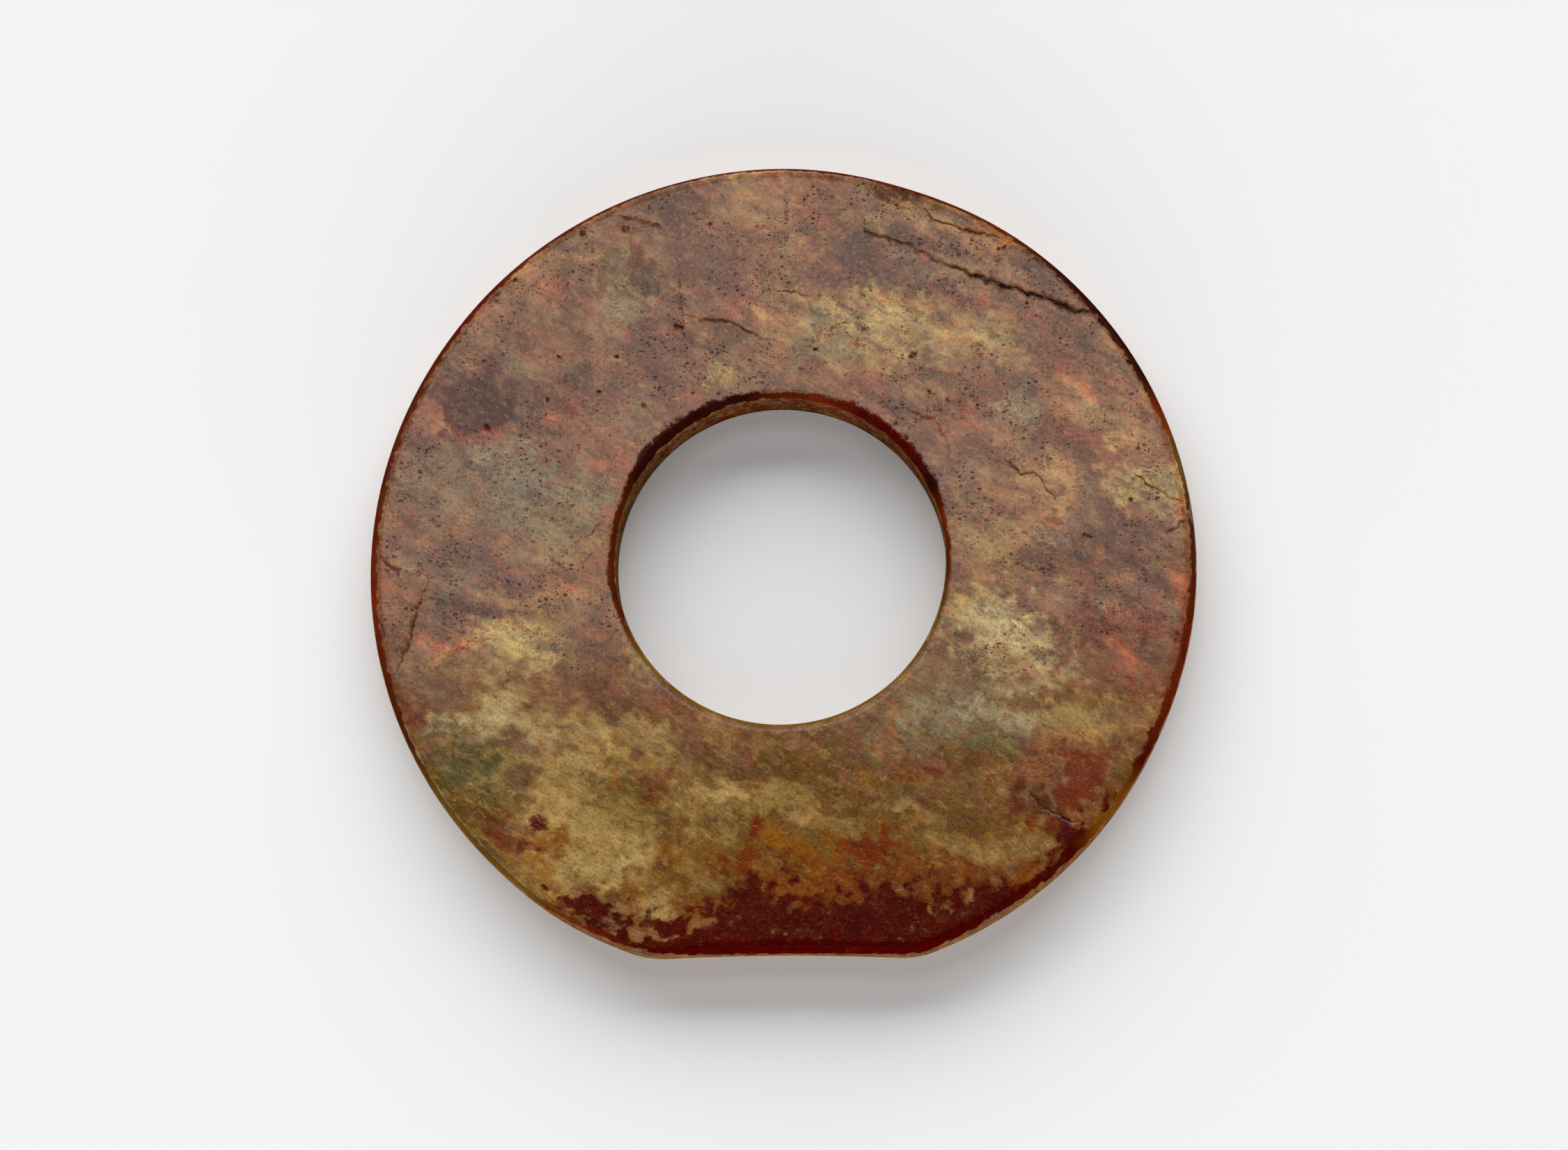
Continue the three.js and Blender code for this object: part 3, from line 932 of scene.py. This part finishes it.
class Shader:
    """The node tree of one material."""

    def __init__(self, name):
        self.material = bpy.data.materials.new(name)
        self.material.use_nodes = True
        self.tree = self.material.node_tree
        self.tree.nodes.clear()

    def node(self, kind, settings=None, inputs=None, output=0):
        """Adds a node, sets it, fills its sockets with values or wires, and returns one output."""
        made = self.tree.nodes.new(kind)
        for name, value in (settings or {}).items():
            setattr(made, name, value)
        for key, value in (inputs or {}).items():
            if isinstance(value, Wire):
                self.tree.links.new(value.socket, made.inputs[key])
            else:
                made.inputs[key].default_value = value
        return Wire(self, made.outputs[output])

    def finish(self, surface):
        """Puts a surface on the material."""
        output = self.tree.nodes.new("ShaderNodeOutputMaterial")
        self.tree.links.new(surface.socket, output.inputs["Surface"])

    def mix(self, factor, first, second, blend="MIX"):
        """One colour mixed into another."""
        settings = {"data_type": "RGBA", "blend_type": blend, "clamp_factor": True}
        colours = [c if isinstance(c, Wire) else (*c, 1) for c in (first, second)]
        return self.node("ShaderNodeMix", settings, {0: factor, 6: colours[0], 7: colours[1]}, 2)

    def ramp(self, value, low, high):
        """0 below low, 1 above high and an even curve between."""
        settings = {"interpolation_type": "SMOOTHSTEP"}
        inputs = {"Value": value, "From Min": low, "From Max": high}
        return self.node("ShaderNodeMapRange", settings, inputs)

    def vector(self, operation, first, second):
        """Two vectors put together."""
        return self.node("ShaderNodeVectorMath", {"operation": operation}, {0: first, 1: second})

    def swayed(self, place, size, by):
        """A place moved to and fro, in clouds of a size and by a distance in millimetres."""
        inputs = {"Vector": place, "Scale": 1 / size, "Detail": 2.0}
        sway = self.vector("SUBTRACT", self.node("ShaderNodeTexNoise", None, inputs, 1), (0.5,) * 3)
        return self.vector("ADD", place, self.vector("MULTIPLY", sway, (by, by, 0)))

    def noise(self, place, size, detail=2.0, roughness=0.5):
        """Fractal noise about 0.5, in clouds of a size in millimetres."""
        inputs = {"Vector": place, "Scale": 1 / size, "Detail": detail, "Roughness": roughness}
        return self.node("ShaderNodeTexNoise", None, inputs)

    def streaks(self, place, heading, along, across, detail=1.0):
        """Noise drawn out along a heading, in streaks of a length and a width in millimetres."""
        turned = self.node(
            "ShaderNodeMapping", {"vector_type": "POINT"},
            {"Vector": place, "Rotation": (0, 0, -math.radians(heading))},
        )
        drawn = self.vector("MULTIPLY", turned, (1 / along, 1 / across, 1 / across))
        return self.node("ShaderNodeTexNoise", None, {"Vector": drawn, "Scale": 1.0, "Detail": detail})


def painted(shader, name):
    """The colour and the fourth channel of one of the mesh's painted attributes."""
    settings = {"attribute_name": name}
    return [shader.node("ShaderNodeAttribute", settings, output=part) for part in ("Color", "Alpha")]


def painted_apart(shader, name):
    """The four channels of one of the mesh's painted attributes, each by itself."""
    colour, alpha = painted(shader, name)
    return [shader.node("ShaderNodeSeparateColor", None, {0: colour}, output=k) for k in range(3)] + [alpha]


def along_grain(shader, place):
    """A place drawn out a little along the stone's grain."""
    inputs = {"Vector": place, "Rotation": (0, 0, math.radians(30))}
    turned = shader.node("ShaderNodeMapping", {"vector_type": "POINT"}, inputs)
    return shader.vector("MULTIPLY", turned, (0.62, 1.4, 1.4))


# Blotches of a millimetre or more: the side of the stone they lie on, their size, the noise at which they
# begin and end, their share and their tone.
BLOTCHES = [
    ("far", 5.0, 0.50, 0.62, 0.30, "rose"),
    ("far", 3.4, 0.52, 0.62, 0.30, "haze"),
    ("far", 2.3, 0.54, 0.64, 0.30, "tan"),
    ("far", 1.8, 0.52, 0.64, 0.50, "mauve"),
    ("far", 1.2, 0.61, 0.68, 0.45, "salmon"),
    ("near", 3.3, 0.50, 0.64, 0.30, "gold"),
    ("near", 2.2, 0.52, 0.64, 0.35, "olive"),
    ("near", 1.6, 0.52, 0.64, 0.35, "straw"),
    ("near", 1.1, 0.56, 0.66, 0.40, "rust"),
]


def blotched(shader, colour, grained, near, tones):
    """The colour with blotches in the tones that lie next to each other in the stone."""
    sides = {"far": 1 - near, "near": near}
    for side, size, low, high, share, tone_name in BLOTCHES:
        away = shader.vector("ADD", grained, (size * 31, size * 17, size * 5))
        blotch = shader.ramp(shader.noise(away, size, 4, 0.6), low, high)
        colour = shader.mix(share * sides[side] * blotch, colour, tones[tone_name])
    return colour


def stained(shader, colour, grained, felt, tones):
    """The colour with the four stains broken up over it, and the mask of the deep red one."""
    held = {}
    for stain, mask in zip(STAINS, painted_apart(shader, "stains")):
        away = shader.vector("ADD", grained, (stain.size * 23, stain.size * 7, stain.size * 3))
        breakup = shader.noise(away, stain.size, 8, 0.78) * 0.75 + felt * 0.25
        reach = mask + (breakup - 0.5) * 3.0
        held[stain.tone] = shader.ramp(reach, 0.5 - stain.softness, 0.5 + stain.softness)
        colour = shader.mix(stain.share * held[stain.tone], colour, tones[stain.tone])
    return colour, held["blood"]


def pocked(shader, place, crowd):
    """Dots and short dashes in three sizes, where softer grains fell out, thicker where they crowd. The
    colour darkened with them is partly the stone's dark grains and partly painted shade in the pits.
    """
    dots = 0.0
    for size in (0.7, 0.4, 0.24):
        shaken = shader.swayed(place, 0.22, 0.3)
        cell = {"Vector": shader.vector("MULTIPLY", shaken, (0.7, 1.1, 1)), "Scale": 1 / size}
        gap = shader.node("ShaderNodeTexVoronoi", None, cell, "Distance")
        kind = shader.node("ShaderNodeTexVoronoi", None, cell, "Color")
        kind = shader.node("ShaderNodeSeparateColor", None, {0: kind})
        radius = 0.42 * shader.ramp(kind + 0.4 * crowd, 0.66, 1.25)
        dots = dots + shader.ramp(gap - radius, 0.0, -0.1)
    return shader.ramp(dots, 0.0, 1.0)


def nephrite(tones):
    """Polished nephrite: clouded colour under a felt of fine fibres with painted shade and painted glints,
    with dark dots where it was softer, partly painted shade.
    """
    shader = Shader("nephrite")
    place = shader.node("ShaderNodeTexCoord", output="Object")
    place = shader.vector("MULTIPLY", place, (1 / MM,) * 3)
    swayed = shader.swayed(place, 2.6, 1.8)
    drifted = shader.swayed(place, 8, 3.0)
    grained = along_grain(shader, swayed)
    colour, matt = painted(shader, "stone")
    fibre, dots, lie, broken = painted_apart(shader, "grain")
    near = shader.ramp(fibre, 0.3, 0.8)

    # the fibres lie two ways, and cross where the two meet
    cross = shader.ramp(lie + (shader.noise(place, 3.2, 2) - 0.5) * 1.6, 0.35, 0.65)
    down = shader.streaks(drifted, -34, 0.7, 0.11)
    up = shader.streaks(drifted, 24, 0.7, 0.11)
    felt = down * (1 - cross) + up * cross

    colour = blotched(shader, colour, grained, near, tones)
    colour, red = stained(shader, colour, grained, felt, tones)

    # the stain that follows the rim and the lip of the bore
    stain, reach = painted(shader, "edge")
    ragged = (shader.noise(swayed, 1.6, 6, 0.7) - 0.5) * 0.9
    edged = shader.ramp(reach + ragged, 0.43, 0.59)
    plain = 1 - edged
    colour = shader.mix(0.94 * edged, colour, stain)

    # light and dark all over, from clouds down to single grains
    away = shader.vector("ADD", grained, (51, 17, 5))
    cloud = shader.noise(away, 4.2, 8, 0.68) - 0.5
    grain = shader.noise(drifted, 0.42, 3, 0.6) - 0.5
    light = (cloud * (3.8 - 1.3 * near) + grain * 2.0) * (1 - 0.35 * edged) + 1.42
    colour = shader.node("ShaderNodeGamma", None, {"Color": colour, "Gamma": 1.22})
    colour = shader.vector("MULTIPLY", colour, light)

    # painted highlights as pale pinkish flecks in the far half; in the near one, painted shade in the grooves
    # of the fibres and painted golden glints on their ridges
    # painted highlight: pale pinkish flecks, weaker where the fibres lie
    painted_highlight = shader.ramp(shader.noise(place, 0.7, 4, 0.7), 0.54, 0.64) * plain
    colour = shader.mix(0.22 * painted_highlight * (1 - 0.85 * fibre), colour, srgb(214, 160, 118))
    # painted shade: darker in the grooves, where the fibres' bump height is low
    shade = shader.ramp(felt, 0.52, 0.3) * fibre
    colour = shader.mix(0.4 * shade, colour, srgb(140, 92, 56), "MULTIPLY")
    # painted glints: golden highlights on the ridges, where the fibres' bump height is high
    sparse = shader.ramp(shader.noise(place, 1.5, 3), 0.36, 0.62)
    painted_glint = shader.ramp(felt, 0.58, 0.72) * fibre * (1 - 0.7 * edged) * (1 - 0.65 * red) * sparse
    colour = shader.mix(0.42 * painted_glint, colour, srgb(192, 142, 70))

    # dark specks, partly the stone's dark grains and partly painted shade in the tiny pits
    crowd = shader.ramp(shader.noise(swayed, 3.0, 4, 0.6), 0.34, 0.66)
    specks = pocked(shader, place, crowd) * dots * plain
    colour = shader.mix(0.8 * specks, colour, srgb(52, 17, 9))

    # hair-thin veins, where a broad noise crosses its middle
    off = shader.noise(shader.vector("ADD", swayed, (9, 4, 2)), 7.0, 6, 0.62) - 0.5
    stretches = shader.ramp(shader.noise(place, 4.0, 3), 0.5, 0.6)
    vein = shader.ramp(off * off, 0.00012, 0.00001) * stretches
    colour = shader.mix(0.55 * vein * plain, colour, srgb(84, 30, 12))

    height = felt * fibre * 0.6 - specks + grain * 0.5
    bump = shader.node(
        "ShaderNodeBump", None, {"Strength": 0.16, "Distance": 0.03 * MM, "Height": height},
    )
    polished = shader.node("ShaderNodeBsdfPrincipled", None, {
        "Base Color": colour, "Roughness": 0.12 + 0.3 * specks + 0.35 * broken, "Normal": bump, "IOR": 1.5,
    })
    sawn = shader.node("ShaderNodeBsdfPrincipled", None, {
        "Base Color": colour, "Roughness": 0.8, "Specular IOR Level": 0.0,
    })
    surface = shader.node("ShaderNodeMixShader", None, {0: matt + edged * 0.85, 1: polished, 2: sawn})
    shader.finish(surface)
    return shader.material


# ---------------------------------------------------------------- operators


class BI_OT_nephrite_disc(Operator):
    """Turns, wears, cracks and colours the nephrite disc"""

    bl_idname = "jade_bi.nephrite_disc"
    bl_label = "Nephrite Disc"

    def execute(self, context):
        sizes = context.scene.jade_bi_sizes
        colours = context.scene.jade_bi_tones
        tones = {name: tuple(getattr(colours, name)) for name in StoneTones.__annotations__}
        mesh = turned_ring(sizes)
        write_points(mesh, wear_ring(read_points(mesh), sizes))
        divide_near_detail(mesh, sizes.thickness / MM - 2.5)
        masks, pits, broken = carve(mesh, sizes)
        paint(mesh, sizes, tones, masks, pits, broken)
        mesh.shade_smooth()
        mesh.materials.append(nephrite(tones))
        write_points(mesh, read_points(mesh) * MM)
        disc = bpy.data.objects.new("nephrite_disc", mesh)
        context.scene.collection.objects.link(disc)
        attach(disc, "root")
        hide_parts(NODE)
        return {"FINISHED"}


# A soft light: its bearing from north and its angle off straight up, in degrees, its distance, width and
# height in metres, its brightness, and whether the polish mirrors it. The others are screened, as a
# polarising sheet does it.
Softbox = namedtuple("Softbox", "name bearing off_zenith distance width height brightness mirrored")
SOFTBOXES = [
    Softbox("tall_window", -5, 61, 3.5, 6.7, 2.7, 4.9, False),
    Softbox("overhead_strip", -5, 16.8, 1.3, 1.0, 0.34, 1.4, True),
    Softbox("front_fill", 180, 58, 1.2, 2.4, 0.9, 0.6, False),
    Softbox("low_board", 180, 80, 1.0, 2.4, 0.25, 6.4, False),
]

AIM = (0.3, -3.1)  # where on the stone's face the camera aims, in millimetres
PAPER_SIZE = 4.0  # of the floor, in metres
SENSOR_WIDTH = 36


def looking_back(away, up):
    """The turn of a lamp or a camera that looks back along a direction, with its top towards up."""
    across = Vector(up).cross(away).normalized()
    return Matrix((across, away.cross(across), away)).transposed().to_euler()


def hang_softbox(box, share):
    """Hangs one softbox so that it faces the origin."""
    bearing, off_zenith = math.radians(box.bearing), math.radians(box.off_zenith)
    level = math.sin(off_zenith)
    away = Vector((level * math.sin(bearing), level * math.cos(bearing), math.cos(off_zenith)))
    light = bpy.data.lights.new(box.name, "AREA")
    light.shape = "RECTANGLE"
    light.size = box.width
    light.size_y = box.height
    light.energy = box.brightness * share * math.pi * box.width * box.height
    lamp = bpy.data.objects.new(box.name, light)
    lamp.visible_glossy = box.mirrored
    lamp.location = away * box.distance
    lamp.rotation_euler = looking_back(away, (0, 0, 1))
    bpy.context.scene.collection.objects.link(lamp)


class BI_OT_stage(Operator):
    """Sets the pale floor, the soft light and the camera"""

    bl_idname = "jade_bi.stage"
    bl_label = "Stage"

    def execute(self, context):
        scene = context.scene
        stage = scene.jade_bi_stage
        bm = bmesh.new()
        bmesh.ops.create_grid(bm, x_segments=2, y_segments=2, size=PAPER_SIZE / 2)
        mesh = bpy.data.meshes.new("floor")
        bm.to_mesh(mesh)
        bm.free()
        floor = bpy.data.objects.new("floor", mesh)
        scene.collection.objects.link(floor)
        paper = Shader("pale_paper")
        surface = paper.node("ShaderNodeBsdfPrincipled", None, {
            "Base Color": (*stage.floor, 1), "Roughness": 0.9, "Specular IOR Level": 0.1,
            "Emission Color": (1, 1, 1, 1), "Emission Strength": stage.glow,
        })
        paper.finish(surface)
        mesh.materials.append(paper.material)

        for box in SOFTBOXES:
            hang_softbox(box, stage.key)
        room = bpy.data.worlds.new("room")
        room.use_nodes = True
        background = room.node_tree.nodes["Background"]
        background.inputs["Color"].default_value = (1, 1, 1, 1)
        background.inputs["Strength"].default_value = stage.fill
        scene.world = room
        scene.view_settings.view_transform = "Standard"

        target = Vector((*(MM * offset for offset in AIM), scene.jade_bi_sizes.thickness))
        away = Vector((math.tan(stage.sideways), -math.tan(stage.tilt), 1)).normalized()
        lens = bpy.data.cameras.new("camera")
        lens.sensor_width = SENSOR_WIDTH
        lens.lens = lens.sensor_width * stage.distance / stage.width
        camera = bpy.data.objects.new("camera", lens)
        camera.location = target + away * stage.distance
        camera.rotation_euler = looking_back(away, (0, 1, 0))
        scene.collection.objects.link(camera)
        scene.camera = camera
        return {"FINISHED"}


class BI_PT_tools(Panel):
    """Lists the disc's sizes, its tones, the stage and the operators that make them"""

    bl_idname = "BI_PT_tools"
    bl_label = "Jade Bi Disc"
    bl_space_type = "VIEW_3D"
    bl_region_type = "UI"
    bl_category = "Jade Bi"

    def draw(self, context):
        scene = context.scene
        for settings in (scene.jade_bi_sizes, scene.jade_bi_tones, scene.jade_bi_stage):
            column = self.layout.column()
            for name in settings.__annotations__:
                column.prop(settings, name)
        self.layout.operator(BI_OT_nephrite_disc.bl_idname)
        self.layout.operator(BI_OT_stage.bl_idname)


CLASSES = (DiscSizes, StoneTones, StageSettings, BI_OT_nephrite_disc, BI_OT_stage, BI_PT_tools)


def register():
    for cls in CLASSES:
        bpy.utils.register_class(cls)
    bpy.types.Scene.jade_bi_sizes = PointerProperty(type=DiscSizes)
    bpy.types.Scene.jade_bi_tones = PointerProperty(type=StoneTones)
    bpy.types.Scene.jade_bi_stage = PointerProperty(type=StageSettings)


def unregister():
    for name in ("jade_bi_sizes", "jade_bi_tones", "jade_bi_stage"):
        delattr(bpy.types.Scene, name)
    for cls in reversed(CLASSES):
        bpy.utils.unregister_class(cls)


def main():
    register()
    bpy.ops.jade_bi.stage()
    bpy.ops.jade_bi.nephrite_disc()


if __name__ == "__main__":
    main()
